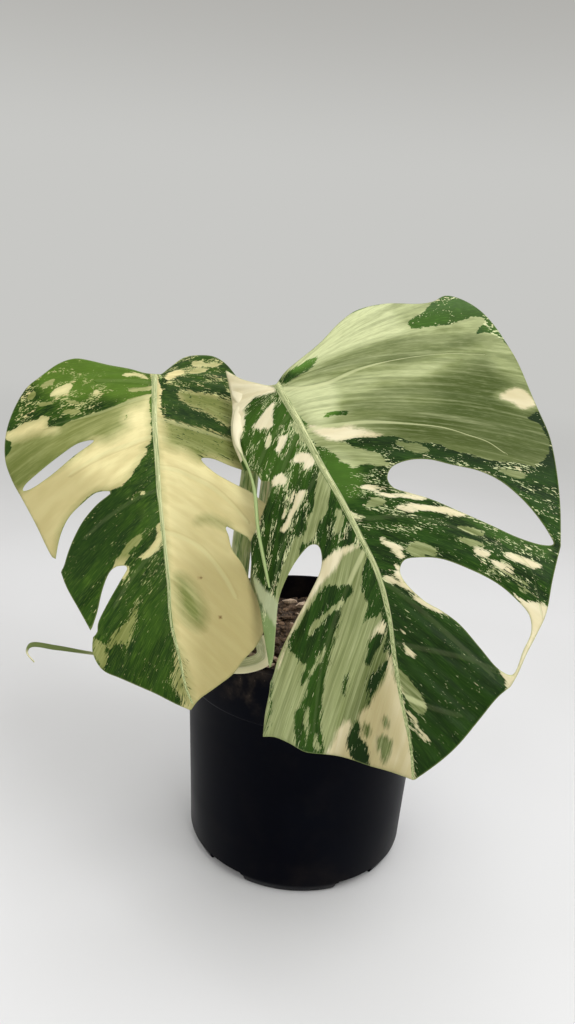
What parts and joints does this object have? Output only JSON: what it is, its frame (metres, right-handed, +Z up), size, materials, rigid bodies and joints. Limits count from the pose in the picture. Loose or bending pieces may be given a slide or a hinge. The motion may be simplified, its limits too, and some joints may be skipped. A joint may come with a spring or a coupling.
{
  "type": "potted albo variegata monstera",
  "caption": "Variegated monstera with cut cream and green leaves on arched stalks, standing in a plain round nursery pot of bark mix.",
  "frame": {"origin": "middle of the pot's flat underside", "axes": "+Z up, -Y towards the side that the leaves face, +X to the right seen from there"},
  "size_m": [0.3062, 0.2553, 0.376],
  "materials": {
    "pot_plastic": "semi-matte moulded plastic",
    "potting_mix": "coarse bark and coir chips",
    "stem_green": "smooth green stem",
    "stalk_left": "smooth striped stalk",
    "stalk_right": "smooth striped stalk",
    "leaf_left": "satin leaf with cream and green marbling",
    "leaf_right": "satin leaf with cream, sage and green marbling",
    "sheath_pale": "dry pale sheath"
  },
  "bodies": {
    "root": {"pot": "pot_plastic", "soil": "potting_mix", "stem": "stem_green", "petiole_left": "stalk_left", "petiole_right": "stalk_right", "leaf_left": "leaf_left", "leaf_right": "leaf_right", "cataphyll": "sheath_pale"}
  },
  "joints": []
}
